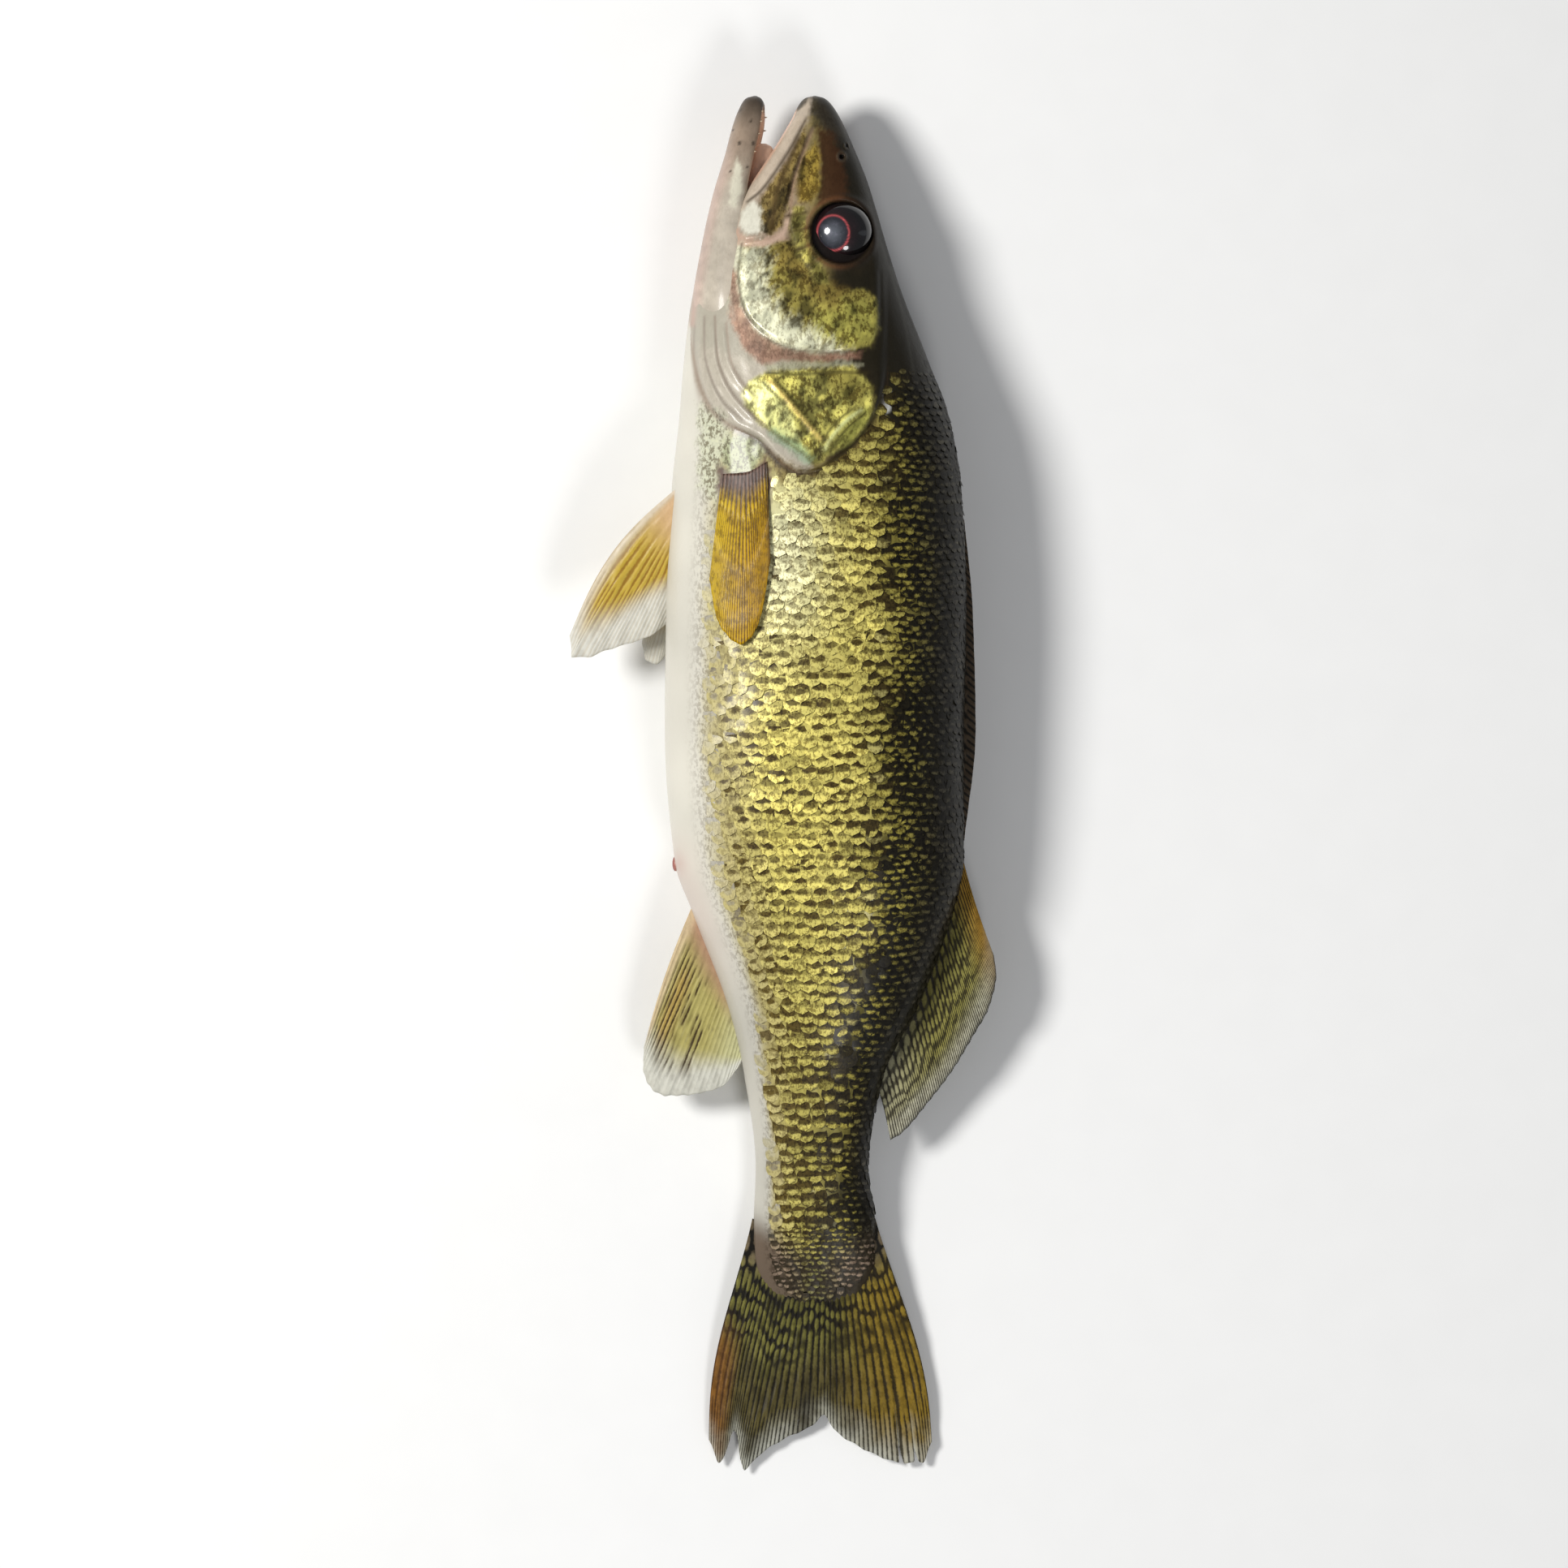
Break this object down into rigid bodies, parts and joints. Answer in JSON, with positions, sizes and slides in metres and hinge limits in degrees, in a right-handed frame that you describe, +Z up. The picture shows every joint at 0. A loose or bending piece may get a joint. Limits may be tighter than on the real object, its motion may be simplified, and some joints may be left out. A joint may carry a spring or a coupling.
{
  "type": "whole raw fish",
  "caption": "Whole raw freshwater fish lying on its side, with its head, open mouth, scaled body, spread tail and fins.",
  "frame": {"origin": "on the floor under the middle of the fish, halfway from snout to tail", "axes": "+Y towards the head, +X towards the back, +Z up, out of the fish's left side"},
  "size_m": [0.1425, 0.4602, 0.0618],
  "materials": {
    "skin": "wet scaled skin, brass gold on the side, near black on the back and cream on the belly",
    "fin": "thin wet fin skin over rays, amber to smoke brown with pale rims",
    "mouth": "wet pink mouth lining, tongue and teeth",
    "eye": "dark iris with a thin pink ring round a grey-blue pupil",
    "cornea": "clear wet cornea over the eye"
  },
  "bodies": {
    "root": {"fish": "skin", "eye_left": "eye", "eye_right": "eye"}
  },
  "joints": []
}
